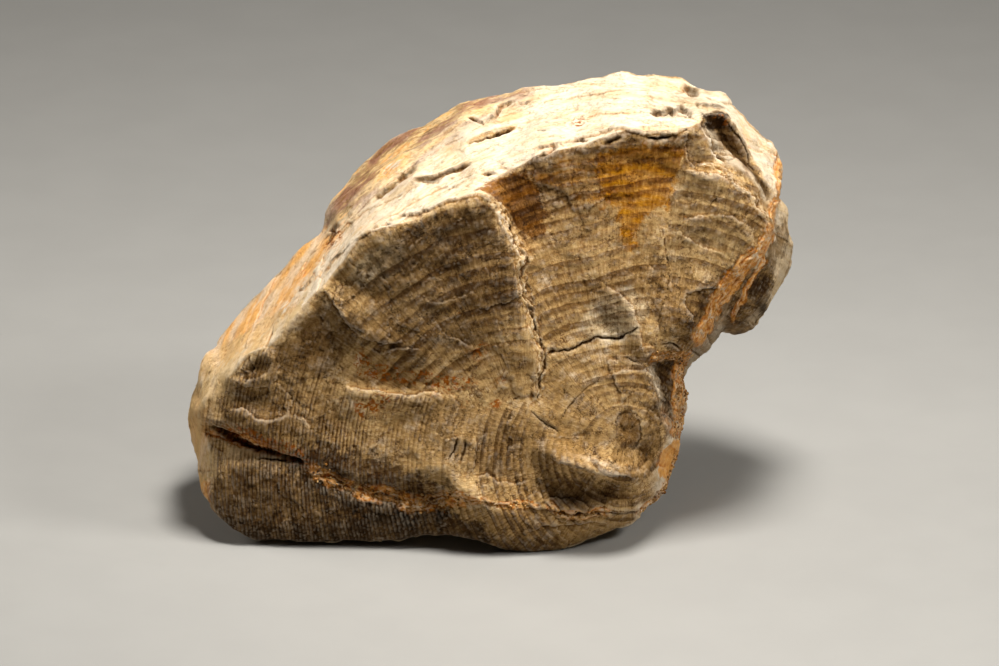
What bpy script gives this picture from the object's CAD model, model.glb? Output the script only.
"""A chunk of petrified wood: the worked surface and stone colours of its one piece, and a pale stage.

Places on the front are drawn as they show along one line of sight, which looks down on the table from the
front: across and seen up, in millimetres from the front foot.  The grain of the wood runs along Y.
"""

import math

import bmesh
import bpy
import numpy as np
from bpy.props import FloatProperty, FloatVectorProperty, IntProperty, PointerProperty
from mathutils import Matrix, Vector


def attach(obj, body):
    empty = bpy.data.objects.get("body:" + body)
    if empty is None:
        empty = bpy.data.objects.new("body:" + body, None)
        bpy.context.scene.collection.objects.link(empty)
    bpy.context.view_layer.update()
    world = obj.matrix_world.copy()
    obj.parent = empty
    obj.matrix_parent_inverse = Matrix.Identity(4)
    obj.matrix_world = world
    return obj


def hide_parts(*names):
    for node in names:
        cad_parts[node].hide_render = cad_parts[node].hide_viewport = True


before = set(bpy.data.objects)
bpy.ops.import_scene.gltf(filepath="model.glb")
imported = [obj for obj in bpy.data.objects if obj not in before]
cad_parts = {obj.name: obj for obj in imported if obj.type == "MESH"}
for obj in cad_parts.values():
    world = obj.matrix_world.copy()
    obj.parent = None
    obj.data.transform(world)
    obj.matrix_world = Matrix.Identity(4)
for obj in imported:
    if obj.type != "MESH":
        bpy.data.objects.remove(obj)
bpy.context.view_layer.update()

bl_info = {
    "name": "Petrified wood chunk",
    "version": (1, 0, 0),
    "blender": (4, 5, 0),
    "location": "3D View > Sidebar > Petrified wood",
    "description": "Finishes a chunk of petrified wood: growth rings, cracks, split grain and stains",
    "category": "Object",
}

MM = 0.001
SIGHT = math.radians(22.0)  # how far the line of sight looks down
FRONT_FOOT = Vector((0.000002, -0.045403, 0.000264))  # where across, seen and back are all zero
TO_VIEWER = np.array((0.0, -math.cos(SIGHT), math.sin(SIGHT)))

# The camera
VIEW_MIDDLE = (2.85, 65.7)  # what it looks at: across and seen up, in mm
VIEW_BACK = 25.0  # mm that this point lies behind the front foot
VIEW_WIDTH = 299.7  # mm that the view takes in from left to right, at that point
LENS = 500.0  # mm
SENSOR = 36.0  # mm
VIEW_END = 20.0  # m

# Soft lights: (name, its power's setting, place in m, size in m)
LIGHTS = (
    ("top light", "top_light", (0.09, -0.18, 0.85), 0.22),
    ("side light", "side_light", (0.55, -0.26, 0.55), 0.2),
    ("left light", "left_light", (-0.6, 0.15, 0.36), 0.2),
)
LIGHT_SPREAD = math.radians(120.0)
LIGHT_COLOUR = (1.0, 0.965, 0.91)
FLOOR_HALF = 4.0  # m from the middle of the floor to its sides

# --------------------------------------------------------------------------------------------------
# What is drawn on the front, in mm: (across, seen up)

# Cracks and slots: (depth, half width, points)
CRACKS = {
    # on the roof
    "long_slot": (1.8, 0.34, ((-7.5, 121.8), (-2, 123.6), (3, 125.4), (8, 127.3))),
    "hollow": (1.6, 0.6, ((-21, 111.6), (-15, 112.6), (-11.6, 114), (-5.3, 116.3))),
    "hollow_mouth": (1.5, 1.2, ((-23.4, 112.4), (-20.5, 111.6), (-18, 111.2), (-14, 112.6))),
    "short_slot": (1.2, 0.31, ((-3, 113.3), (2.4, 114.1))),
    "rim_slot": (1.2, 0.31, ((-15, 107.8), (-9, 110.2))),
    "scallops": (1.6, 0.5, ((-7, 130), (-2, 129), (2, 131.5), (3, 133.7), (8, 135.2))),
    "far_slot": (0.98, 0.28, ((8.6, 134.4), (13.4, 135.1))),
    "middle_slot": (1.12, 0.28, ((14, 125.4), (18, 126.4))),
    "hump_slot": (2.0, 0.55, ((-34.8, 104.6), (-31, 108.4), (-27.5, 111.5), (-22, 115.6))),
    "right_rim_slot": (1.4, 0.4, ((13.5, 120.2), (20, 121.8), (29.5, 123.1))),
    "left_rim_slot": (1.2, 0.37, ((-35.5, 96.3), (-32, 97.6), (-28, 98.3))),
    "band_slot": (1.2, 0.31, ((-50, 83.6), (-47.5, 87), (-44.8, 90.8))),
    "crooked_slot": (2.6, 0.95, (
        (48, 132.4), (51, 131.6), (53, 133), (54.5, 132), (57, 133), (60.2, 131),
    )),
    "far_hole": (3.2, 1.5, ((56.8, 140.4), (60.5, 138.2), (63.2, 138.4))),
    "shoulder_slot": (1.8, 0.6, ((61, 134.2), (66, 134.2), (70.4, 132.8))),
    "golden_slot": (1.05, 0.31, ((-57.6, 77.4), (-54.5, 80.2), (-51.6, 84))),
    "notch_slot": (1.5, 0.5, ((-49.6, 92), (-47.5, 95.4), (-44.5, 98.6))),
    # on the broken end
    "step_foot": (0.6, 0.25, (
        (5.5, 99), (6.5, 95), (8, 92), (10.5, 89.5), (11.8, 87), (10, 84.6), (9, 81), (10, 78.5),
        (11, 74.5), (12.4, 71.5), (13.5, 67), (15, 63.5), (16, 60.4), (16.6, 57), (15, 53), (14.8, 48),
        (13.6, 45),
    )),
    "long_crack": (0.3, 0.16, (
        (50.5, 98), (52, 92), (53.5, 85), (53, 80), (52, 76), (50.5, 70), (50, 64),
    )),
    "crack_from_hole": (1.0, 0.3, (
        (18, 59.8), (21, 60), (25, 61), (30, 63.5), (32, 65), (38, 64), (42, 66), (44.5, 67.6),
    )),
    "hole": (1.95, 0.62, ((16.6, 59.3), (18.5, 60), (20.8, 60))),
    "crack_to_pith": (0.68, 0.19, ((11.5, 43.6), (15, 40), (18, 38), (20.4, 36.2))),
    "arc_crack": (0.25, 0.15, ((20.6, 39.4), (24, 44), (27, 47.4), (30, 50), (33.6, 52.2))),
    "short_crack": (0.52, 0.19, ((39.4, 59), (42, 57.8), (45, 56.6))),
    "pith_edge": (0.2, 0.25, (
        (36.6, 36.5), (38, 40.5), (40.5, 41.8), (44, 41.5), (45, 38), (45, 34), (43.5, 31.5),
        (40.5, 30.5),
    )),
    "rim_gap_2": (1.2, 0.5, ((46, 124), (50, 123.2), (54, 124.4))),
    "rim_gap_3": (1.1, 0.45, ((14.6, 117.4), (18, 119.4), (21, 120.8))),
    "rim_gap": (1.2, 0.56, ((33, 121.8), (36, 122.6), (39.6, 124.4))),
    "pocket_channel": (0.5, 1.2, (
        (68, 128), (70, 123), (73.6, 118.6), (77.6, 114), (80.6, 110), (84, 105.4),
    )),
    "pocket_left": (0.75, 0.25, (
        (63.2, 130), (64, 127), (65.4, 123.6), (66.2, 120), (67.4, 118.2), (70, 116.2),
    )),
    "pocket_right": (0.6, 0.22, (
        (70.8, 128.6), (73, 125.5), (75, 122.8), (76.6, 120), (77.4, 116), (80, 113),
    )),
    "pocket_crack": (0.6, 0.19, ((70, 116.8), (74, 118.2), (73.4, 122.5))),
    "facet_crack": (0.3, 0.2, ((65, 102.6), (66.6, 105), (68.6, 107.4))),
    "blade_gap": (0.75, 0.31, ((-12.6, 27.6), (-11, 31), (-9.6, 35))),
    "crevice": (2.0, 0.8, (
        (-84.6, 38), (-81, 36), (-78.3, 34.8), (-75, 33.6), (-72.4, 31.8), (-66, 29.8), (-60, 28.4),
        (-55, 26.6),
    )),
    "pith_ray": (0.35, 0.15, ((40.6, 35.4), (43.4, 38.8))),
    "pith_ray_2": (0.35, 0.15, ((40.6, 35.2), (38.4, 32.4))),
    "pith_ray_3": (0.3, 0.15, ((41, 35.6), (38.6, 38.4))),
    "blade_gap_2": (0.6, 0.35, ((-9.6, 25.6), (-8.2, 30), (-7, 34.4))),
    "lobe_slit": (1.35, 0.43, ((-70.5, 28), (-66, 27.6), (-59, 27.6))),
    "lower_crack": (0.68, 0.25, ((17, 15), (19, 12.6), (24, 11.6), (31, 12), (38, 11.6), (45, 12.4))),
    "panel_slit": (0.9, 0.31, ((50.6, 62), (53.6, 63.2), (57.6, 60.4))),
}

# Small ledges: (height, reach, points); the side on the left of the points' way stands proud
LEDGES = {
    "shelf": (0.9, 3.5, (
        (-13, 47.6), (-18, 47.8), (-23, 47), (-29, 48), (-33, 48.6), (-37, 48.4), (-43.5, 50.4),
    )),
    "scar": (0.8, 4.0, (
        (-60, 42), (-63, 41), (-66, 39.8), (-70, 40), (-72, 41.5), (-74, 43.5), (-79, 43.4),
    )),
    "chip": (0.3, 3.5, ((-65, 60), (-65.5, 57), (-67, 54), (-70, 52), (-73, 51.5), (-76.5, 52.6))),
    "ridge": (0.55, 6.0, (
        (-50, 79.5), (-47, 74.5), (-43, 68.6), (-38.6, 64.6), (-33, 63.4), (-26, 63),
    )),
    "hook": (0.5, 4.0, ((-20, 61), (-27, 62), (-33.5, 60), (-36.6, 62))),
    "wave": (0.25, 5.0, ((-2.5, 61), (-8, 63.5), (-13, 65.4), (-16, 70), (-19, 73.4))),
    "flake": (0.25, 4.0, ((-1.5, 75.4), (-5, 78.4), (-10, 76), (-15, 74.6), (-20, 76))),
    "block": (0.5, 5.0, ((46.6, 58.6), (45, 65), (43.5, 70), (42, 75), (38, 78), (33, 80.4))),
    "shell": (0.5, 4.0, ((61.6, 67), (60.4, 71), (57.6, 74.6), (58.6, 77.6), (63, 78.6), (69, 79.4))),
    "facet_steps": (0.35, 4.0, ((78, 97), (73, 99.5), (68, 101), (62, 100.6), (56, 99.6))),
    "facet_scar": (0.35, 4.0, ((72, 88), (68, 90.4), (62, 92), (57, 95), (55, 98.6))),
    "pith_arc": (0.4, 3.0, ((49.4, 52), (46.6, 54.4), (42, 54.6), (38, 54.2), (33.6, 52.6))),
    "crumble": (0.7, 3.0, ((12, 21.6), (7, 21), (2, 21.6), (-1, 24), (-5, 22.4))),
    "bottom_arc": (0.5, 3.0, ((10, 6), (16, 8.4), (24, 8), (30, 9.4), (36, 8.4))),
    "facet_ridge": (1.0, 4.0, (
        (84, 98), (82, 100.5), (80, 103), (78, 105.5), (74, 109), (70, 112), (67, 112.8), (62, 113.5),
        (57, 114.4),
    )),
    "shell_top": (0.6, 4.0, ((62, 113), (58, 117.6), (57.4, 122), (59, 126))),
    "blade_edge": (0.6, 3.0, ((-5.4, 23), (-4.6, 29), (-3.6, 36))),
    "blade_top": (0.5, 3.0, ((-7, 36), (-11, 34.6), (-15, 33.4))),
    "rim_right": (1.0, 2.5, (
        (13.7, 117.2), (18, 120), (22.5, 122.1), (30.3, 124.6), (40.1, 126.5), (46, 124.6),
        (51.9, 124.6), (59.7, 126.5),
    )),
    "rim_left": (1.0, 2.5, (
        (-41.2, 92.2), (-35, 96.4), (-28.5, 99.5), (-18.7, 102.5), (-8.9, 105.9), (-2, 106.9),
    )),
    "lip": (1.2, 2.5, (
        (17, 28), (19.3, 27.6), (23, 26.4), (26.1, 25.9), (33, 24.2), (38.1, 23.3), (42, 22.6),
    )),
    "foot_rim": (0.45, 3.0, (
        (-15, 17.6), (-6.4, 16), (2.1, 14.7), (10.7, 14.7), (19.3, 12.6), (27.9, 11.7), (36.4, 12.6),
        (45, 12.6),
    )),
    "plate": (0.35, 4.0, ((5, 45), (9, 47), (13.6, 47.4))),
}

# Stained and differently coloured zones: (how soft the border is, outline)
ZONES = {
    "ochre": (2.4, (
        (57.4, 121), (56, 115), (54.4, 110), (52.6, 103.6), (48, 101), (44.6, 98), (43, 92), (40, 91.6),
        (39, 98), (36, 104), (33, 108), (31, 114), (33, 119.6), (40, 121.6), (48, 121.8),
    )),
    "ochre_streaks": (3.0, (
        (13, 111), (20, 109.6), (26, 107), (33, 102), (38, 106), (40, 114), (38, 120), (24, 117.8),
        (13, 113.4),
    )),
    "umber": (1.6, (
        (-4.6, 109), (2, 111.6), (7, 113.4), (11, 113.6), (13, 110), (14.6, 105), (17.6, 101), (16, 96),
        (11.4, 93.6), (8, 96.4), (5, 101), (1.6, 104.6), (-1.4, 106.8),
    )),
    "plum": (5.0, (
        (-49, 98), (-43.5, 98.4), (-36, 106), (-27, 112.6), (-21, 118), (-15, 123.4), (-9, 128),
        (-2, 131), (3, 134.4), (12, 136.4), (10, 142), (-12, 138), (-24, 131), (-38, 122), (-50, 108),
    )),
    "golden": (4.0, (
        (-95, 30), (-84.6, 34), (-84.4, 42), (-88, 50), (-84, 54), (-76, 58), (-66, 66), (-58, 76.6),
        (-50.6, 86), (-45, 94), (-50, 99), (-60, 96), (-76, 76), (-92, 58),
    )),
    "left_flank": (2.0, ((-84.6, 42), (-84.4, 24), (-83, 12), (-95, 12), (-96, 44))),
    "lobe_side": (2.5, (
        (-84.6, 37), (-76, 35.4), (-66, 30.6), (-66, 26.6), (-76, 26.4), (-82, 24), (-85, 22),
    )),
    "crevice": (1.4, (
        (-84, 36.6), (-80, 37.4), (-74, 36), (-66, 33.4), (-62, 31), (-66, 30), (-74, 31.6),
        (-81, 33.6),
    )),
    "grey_facet": (2.0, (
        (54, 111), (57, 116), (66, 112.6), (74, 107), (80, 100), (78, 92), (70, 82), (60, 79), (55, 82),
        (53.6, 92), (52.6, 102),
    )),
    "grey_lobes": (2.5, (
        (88, 108), (96, 104), (96, 78), (84, 66), (74, 62), (72, 68), (80, 82), (85, 92),
    )),
    "cream_ledge": (2.0, (
        (18.4, 37), (25, 35), (31, 31.4), (37, 27.6), (43, 22.4), (36, 23.8), (26, 26.4), (19.4, 26.8),
    )),
    "cream_haunch": (1.2, (
        (50, 28.6), (52, 31), (55.6, 33.6), (58.6, 33.6), (58, 24), (53, 20.6), (51, 22), (50.4, 26),
    )),
    "cream_bulge": (3.0, (
        (-24, 22.4), (-15, 27), (-10, 25), (-4, 24.4), (2, 22), (6, 15.6), (0, 12), (-8, 17), (-14, 22),
    )),
    "dark_slab": (6.0, (
        (-44, 79), (-38, 86), (-30, 93.6), (-14, 102), (-1, 105), (2.5, 101), (6, 95), (9.4, 89),
        (8, 83), (9, 75), (4, 66), (-6, 60), (-20, 57), (-34, 62), (-42, 66),
    )),
    "dark_quarter": (5.0, (
        (-46, 78), (-42, 74), (-38, 66), (-42, 56), (-54, 52), (-70, 52), (-78, 50), (-74, 54),
        (-62, 64),
    )),
    "left_rim": (2.0, (
        (-54.8, 75.6), (-70, 68), (-86, 58), (-84, 46), (-78, 46), (-73.4, 55), (-60.7, 66.8),
    )),
    "dark_left": (6.0, ((-92, 50), (-60, 52), (-46, 48), (-46, 36), (-66, 33), (-92, 38))),
    "dark_lobe": (4.0, (
        (-84, 21), (-76, 24.4), (-66, 25), (-56, 24), (-44, 20), (-30, 16), (-14, 12), (-2, 8), (2, -4),
        (-20, -6), (-60, -6), (-90, 0),
    )),
    "dark_foot": (4.0, (
        (-88, 12), (-60, 8), (-30, 12), (-12, 13), (2, 6), (20, 4), (24, -8), (-30, -8), (-90, -8),
    )),
    "dark_under_rim": (4.0, (
        (-38, 85), (-28, 94), (-16, 100), (-2, 103), (2, 99), (6, 90), (-8, 86), (-24, 82),
    )),
    "dark_top": (5.0, (
        (4, 112), (16, 118), (36, 124), (58, 125), (58, 119), (40, 116), (20, 108), (14, 96), (8, 96),
    )),
    "dark_recess": (3.0, ((16, 25), (30, 23), (42, 20), (44, 15), (30, 13.4), (20, 14), (13, 20))),
    "dark_panel": (1.6, ((49.6, 57), (56.6, 57.6), (56.4, 50), (57, 42), (52.6, 41), (50.6, 48))),
    "dark_gap": (2.0, (
        (84, 66), (80, 72), (77, 77), (76, 82), (79, 84), (84, 92), (88, 100), (90, 96), (86, 86),
        (84, 76),
    )),
    "pocket": (1.4, (
        (63, 131.6), (70.6, 131), (73.4, 127), (77, 120), (80, 113), (85, 105.6), (82.4, 105.4),
        (76.4, 112.4), (69, 116.6), (66, 120.6), (64.4, 125),
    )),
    "pocket_hole": (0.9, (
        (62.8, 131.8), (67, 132.4), (71.2, 131), (70.4, 127.4), (67.4, 126.4), (64.6, 127),
    )),
    "dark_waist": (3.0, (
        (47, 58), (53, 62), (58, 66), (62, 74), (66, 82), (72, 86), (80, 86), (84, 80), (84, 62),
        (66, 56), (60, 44), (58, 34), (52, 36), (49, 46),
    )),
    "dark_blade": (5.0, (
        (-22, 46), (-8, 44), (4, 43), (10, 36), (8, 22), (-4, 24), (-12, 27), (-20, 32),
    )),
    "dark_cleft": (6.0, (
        (-60, 28), (-52, 33), (-40, 31), (-28, 26), (-14, 20), (-12, 12), (-26, 8), (-44, 12),
        (-56, 22),
    )),
    "dark_shell": (3.0, ((48, 88), (58, 87), (65, 80), (65, 71), (59, 63), (51, 64), (47, 74))),
    "dark_side": (3.0, ((46, 45), (52, 44), (52, 32), (48, 27), (44, 29), (46, 36))),
    "dark_shoulder": (2.0, (
        (45, 135), (52, 137), (60, 141), (68, 136), (73, 130), (62, 131), (50, 130),
    )),
    "pale_slab": (4.0, ((26, 68), (32, 76), (42, 80), (47, 73), (44, 64), (34, 62))),
    "pale_corner": (2.5, ((-43, 82), (-37, 89.6), (-28, 94.6), (-24, 90), (-27, 84), (-36, 78))),
    "pale_ridge": (4.0, ((-28, 80), (-20, 81), (-12, 76), (-12, 68), (-22, 67), (-30, 72))),
    "dark_crest": (2.0, ((36, 32), (46, 34), (50, 26), (43, 20), (36, 24))),
    "pale_tip": (2.0, (
        (-94, 60), (-84, 60), (-79, 52), (-77, 45), (-81, 41), (-86, 36), (-84, 22), (-94, 20),
    )),
    "pith": (0.8, (
        (36.4, 36.6), (37.6, 40), (40, 42), (43, 42), (45.4, 39), (45.6, 34.6), (43.6, 31.4),
        (39.6, 31.4),
    )),
}

# Lines that colour follows: (kind, half width, points)
STREAKS = {
    "vein_top": ("vein", 1.1, (
        (87.4, 122), (87, 117), (86.4, 112), (86, 107), (84.6, 102), (83.6, 97), (82, 92),
    )),
    "vein": ("vein", 1.7, (
        (84, 98), (82.6, 93), (80.4, 89.6), (77, 87), (74.4, 84.6), (71, 81), (68.4, 77.6), (66.4, 73),
        (65, 69), (63.4, 65.4), (61, 62),
    )),
    "vein_branch": ("vein", 0.8, (
        (82.6, 91), (82, 86.6), (79.6, 83), (77.4, 80), (76, 76.6), (74.4, 72), (72.4, 68),
    )),
    "vein_inner": ("vein", 0.8, ((79, 88), (75, 83), (72, 77.6), (69, 74), (67.6, 69.6))),
    "ridge_crust": ("pale", 0.9, (
        (62, 115.6), (66, 115.4), (70, 113.6), (74, 109.6), (78, 106), (82, 101.6), (84, 99),
    )),
    "waist_crust": ("crumbly", 1.7, ((60, 61), (57, 58), (56.6, 52), (56.6, 46), (57, 40), (56.6, 34))),
    "haunch_crust": ("crumbly", 1.1, ((57.4, 30), (56, 25), (53, 20), (51, 16), (47, 12.6), (44, 12))),
    "foot_crust": ("crumbly", 0.9, ((-13, 17.3), (-6.4, 16), (2, 14.7), (10.7, 14.7), (17, 14.2))),
    "lower_crust": ("crumbly", 1.0, ((17, 14.6), (21, 12), (27, 11.4), (32, 12.4), (37, 11.6))),
    "hollow_crust": ("crumbly", 1.2, ((47.6, 57), (50, 58.6), (54, 59.4), (57, 60))),
    "step_crust": ("pale", 1.1, (
        (-3.6, 107), (0.4, 105), (2.6, 103), (4.4, 99.6), (6, 96), (8, 92.4), (10, 89), (9, 85),
        (8.6, 82), (10, 77), (11.4, 73), (12.4, 70), (13.4, 66), (14.8, 62.4), (15.6, 59), (14.8, 54),
        (14, 49), (13.2, 45.6),
    )),
    "cleft_crust": ("crumbly", 1.8, (
        (-55, 25), (-50, 23.6), (-46, 21), (-42, 19.6), (-38, 17.6), (-33, 18), (-28, 16.6),
        (-24, 14.8), (-20, 14), (-14, 15.4), (-6, 16),
    )),
    "crevice_crust": ("vein", 1.3, ((-85, 36), (-80, 34.6), (-75, 33.4), (-70, 32.2), (-66, 31))),
    "step_rust": ("vein", 0.6, ((-3, 107.4), (0.6, 105.4), (3.2, 102.6), (5.4, 98.6))),
    "slit_crust": ("rust", 1.2, ((-60, 28.6), (-57, 28.4), (-54, 26.4))),
    "rust_line": ("rust", 1.5, (
        (-38, 60), (-38, 55), (-33, 54.6), (-28, 53.6), (-23, 52.4), (-17, 51.4), (-10, 50.6),
        (-4, 50.6),
    )),
    "rust_line_low": ("rust", 1.3, ((-39.6, 46), (-39, 42), (-34, 44.6), (-30, 46.4), (-28, 46.8))),
    "crevice_rust": ("rust", 1.8, (
        (-80, 37), (-75, 35.4), (-70, 33), (-66, 31.4), (-60, 30), (-55, 28),
    )),
    "rust_marks": ("rust", 1.1, ((-17, 46.8), (-15.6, 46.4))),
    "rust_marks_2": ("rust", 1.3, ((-8, 44.6), (-6, 44))),
    "rust_marks_3": ("rust", 1.1, ((2.6, 50.6), (4, 52.4))),
    "rust_marks_4": ("rust", 1.2, ((0.6, 42.6), (2.4, 44.6), (3.6, 45.6))),
    "rust_patch": ("rust", 2.2, ((-5, 60.4), (-1.4, 60.6))),
    "rust_ridge": ("rust", 0.9, ((-50, 91), (-47, 95), (-45, 97.4))),
    "rust_roof": ("rust", 1.3, ((25, 128), (28, 129.4))),
    "shoulder_rust": ("rust", 0.5, ((66, 130), (69.6, 130.6), (71, 127))),
}

# How clearly the rings show round a place: (across, seen up, 0 to 1)
RING_CLARITY = (
    (-30, 90, 0.25), (-14, 93, 0.6), (0, 92, 0.9), (-26, 82, 0.8), (-10, 80, 0.75), (3, 78, 1.0),
    (-30, 70, 0.5), (-12, 68, 0.5), (5, 68, 0.8), (-25, 57, 1.0), (-12, 57, 0.9), (-2, 62, 0.6),
    (8, 55, 0.1), (-6, 50, 0.1), (-44, 72, 0.15), (-56, 62, 0.2), (-38, 58, 0.1), (-50, 47, 0.3),
    (-64, 46, 0.6), (-72, 46, 0.4), (-50, 30, 1.0), (-40, 30, 0.6), (-30, 42, 0.25), (-28, 30, 0.35),
    (-15, 36, 0.35), (-16, 26, 0.15), (0, 42, 0.1), (6, 34, 0.7), (-2, 30, 0.5), (15, 30, 0.4),
    (10, 20, 0.3), (24, 32, 0.0), (16, 48, 0.1), (22, 54, 0.1), (30, 46, 0.5), (38, 50, 0.8),
    (46, 48, 0.7), (33, 58, 0.25), (25, 68, 0.8), (36, 72, 0.9), (16, 76, 0.7), (20, 92, 1.0),
    (30, 86, 1.0), (44, 88, 0.5), (10, 104, 0.9), (24, 108, 0.8), (36, 116, 0.9), (52, 120, 0.9),
    (46, 106, 0.5), (47, 80, 0.6), (56, 70, 0.3), (60, 104, 1.0), (64, 92, 0.7), (72, 94, 0.8),
    (60, 86, 0.5), (62, 121, 0.9), (-76, 18, 1.0), (-64, 20, 1.0), (-64, 10, 0.8), (-50, 16, 0.6),
    (-46, 9, 0.8), (-34, 9, 0.8), (-28, 11, 1.0), (-14, 9, 0.4), (5, 8, 1.0), (24, 18, 0.9),
    (34, 17, 0.8), (30, 6, 0.2), (42, 16, 0.3), (41, 36, 0.4), (50, 40, 0.3),
)

# How drawn lines are made ragged: (size of the bends in mm, their share), and how many mm they bend
RAGGED = ((6.0, 1.0), (2.4, 0.7), (1.1, 0.5))
RAGGED_CRACKS = 0.4
RAGGED_STAINS = 0.7

# Over how many mm each kind of line fades out towards its ends
CRACK_ENDS = 2.5
CRACK_DIRT_ENDS = 2.0
LEDGE_ENDS = 4.0
STREAK_ENDS = 3.0

CRACK_SLOPE = 2.4  # mm over which the near side slopes down to a crack
CRACK_SEED = 40  # of the first crack's width; each further crack has the next
CRUST_APART = 50.0  # mm between the patterns of one crust and the next
WOBBLE_CELLS = 128  # random heights along each side of the grid that wobble uses
WOBBLE_SHIFT = 1000.0  # cells that keep every place on its positive side
WELD = 0.01 * MM  # points closer than this become one
KEEP_TO_PART = 1000.0  # how strictly thinning keeps to its part of the surface
END_GRAIN = (0.34, 0.62)  # turn to Y where a broken end begins, and where it is whole

# The growth rings
CLARITY_REACH = 6.0  # mm over which each ring clarity holds
CLEAR_FROM_PITH = (3.5, 11.0)  # mm from the pith where rings begin to show, and where they are clear
BORDER_REACH = 2.0  # mm from a jump in the ring count within which rings may fade
HIDDEN_CLARITY = 0.45  # how clearly the rings show on the back
BACK_RINGS = 12.0  # mm behind the front foot where the rings of the back are taken from
ROUND_PITH = 60.0  # mm that a radian round the pith counts as in patterns
PITH = (41.0, 36.5)
RING_DRIFT = (-3.0, -12.5)  # mm that the middle of the rings moves away from the pith as they grow
DRIFT_OVER = 25.0  # mm of ring radius over which it moves
FACET_SHIFT = 10.0  # mm that the leaning facet on the right moves its rings across
SLAB_SHIFT = (27.0, 4.0)  # mm that the raised slab moves its rings, across and up
SLAB_WIDTH = 1.2  # how much wider the slab's rings look
LEAN_FROM = 31.0  # mm across from which the rings of the right slab lean
LEAN = 0.23  # mm up for each mm across
LEAN_OVER = (56.0, 78.0)  # seen up, where the lean sets in and where it is whole
# Rings counted out from the pith: (distance in mm, count)
WIDE_RINGS = ((0, 0), (12, 4), (100, 31), (160, 49))
NARROW_RINGS = ((0, 0), (12, 4.5), (55, 27), (75, 42), (160, 118))
# The parts of the break that show narrow rings, that belong to the raised slab and to the leaning facet
NARROW_OUTLINE = (
    (14.6, 46), (12, 43.4), (16, 39.4), (20.4, 36), (28, 30), (46, 22), (60, 0), (60, -20), (-100, -20),
    (-100, 62), (-64, 62), (-52, 70), (-46, 58), (-44, 50.4), (-37, 48.4), (-29, 48), (-14, 47.6),
    (0, 46),
)
SLAB_OUTLINE = (
    (-50, 84), (-44, 91), (-34, 98), (-14, 106), (-1, 107), (2.5, 102), (6, 95), (9.4, 89), (8, 83),
    (10.4, 75), (12, 69), (15, 61), (14.8, 50), (14, 46), (0, 46), (-14, 47.6), (-44, 50.4), (-46, 58),
)
FACET_OUTLINE = (
    (52.6, 103), (54.6, 110), (57.4, 118), (70, 120), (96, 110), (96, 70), (64, 66), (50, 64),
    (50.5, 70), (53, 80), (53.5, 85), (51.6, 93),
)

# Forms without sharp edges, and in how many rounds they are worn down
SOFT_FORMS = (
    ((14, 40), (24, 38), (34, 32), (46, 24), (52, 18), (44, 12), (28, 12), (14, 16), (4, 22), (4, 34)),
    ((60, 134), (72, 134), (80, 122), (88, 106), (84, 102), (74, 111), (66, 116), (62, 124)),
)
SOFT_ROUNDS = 36
SOFT_BORDER = 4.0  # mm

# --------------------------------------------------------------------------------------------------
# Colours of the stone, as they look on a screen (red, green, blue from 0 to 255)


def stone_colour(red, green, blue):
    """A screen colour as the linear colour that materials take."""
    shares = (value / 255.0 for value in (red, green, blue))
    return tuple(s / 12.92 if s <= 0.04045 else ((s + 0.055) / 1.055) ** 2.4 for s in shares)


def colour_setting(name, description, red, green, blue):
    """A colour that can be changed in the panel, given as it looks on a screen."""
    return FloatVectorProperty(
        name=name, description=description, default=stone_colour(red, green, blue), subtype="COLOR",
    )


def length_setting(name, description, length):
    """A length that can be changed in the panel, given in mm."""
    return FloatProperty(
        name=name, description=description, default=length * MM, unit="LENGTH", precision=5,
    )


class StoneShape(bpy.types.PropertyGroup):
    """How finely the stone is worked."""

    grid: length_setting("Grid", "Grid on which the fine surface is laid", 0.45)
    smoothing: IntProperty(
        name="Smoothing", description="Rounds that ease the flat planes into each other", default=5,
    )
    crack_depth: FloatProperty(
        name="Crack depth", description="Share of the drawn depth", default=1.0, subtype="FACTOR",
    )
    ledge_height: FloatProperty(
        name="Ledge height", description="Share of the drawn height", default=1.0, subtype="FACTOR",
    )
    ring_relief: length_setting("Ring relief", "How far a ring steps down to the next", 0.18)
    break_relief: length_setting("Break relief", "Roughness of the broken ends", 0.35)
    crust_relief: length_setting("Crust relief", "Height of the lumps in the crusts", 0.5)
    grain_relief: length_setting("Grain relief", "Height of the fibres on split sides", 0.9)
    seed: IntProperty(name="Seed", description="Changes the random roughness", default=4)
    seen_triangles: IntProperty(
        name="Seen triangles", description="Triangles on the drawn side", default=145000,
    )
    hidden_triangles: IntProperty(
        name="Hidden triangles", description="Triangles on the hidden side", default=48000,
    )


class StoneColours(bpy.types.PropertyGroup):
    """The colours of the stone and its stains."""

    tan: colour_setting("Tan", "The broken ends", 198, 163, 108)
    clay: colour_setting("Clay", "Darker patches of the broken ends", 160, 124, 72)
    ring: colour_setting("Ring line", "The dark side of a growth ring", 62, 38, 14)
    cream: colour_setting("Cream", "Fresh edges and split grain", 222, 206, 182)
    straw: colour_setting("Straw", "Streaks of the split grain", 206, 174, 122)
    golden: colour_setting("Golden", "The left side of the roof", 224, 162, 78)
    ochre: colour_setting("Ochre", "The ochre stain below the rim", 184, 122, 10)
    umber: colour_setting("Umber", "The brown stain beside the step", 130, 78, 8)
    plum: colour_setting("Plum", "The purplish hump of the roof", 138, 88, 66)
    rust: colour_setting("Rust", "Iron specks and crusts", 152, 82, 12)
    vein: colour_setting("Vein", "The orange vein", 188, 114, 34)
    grey: colour_setting("Grey", "The grey lobes and facet", 190, 160, 110)
    shade: colour_setting("Shade", "Dirt in cracks and hollows", 40, 25, 10)


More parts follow.
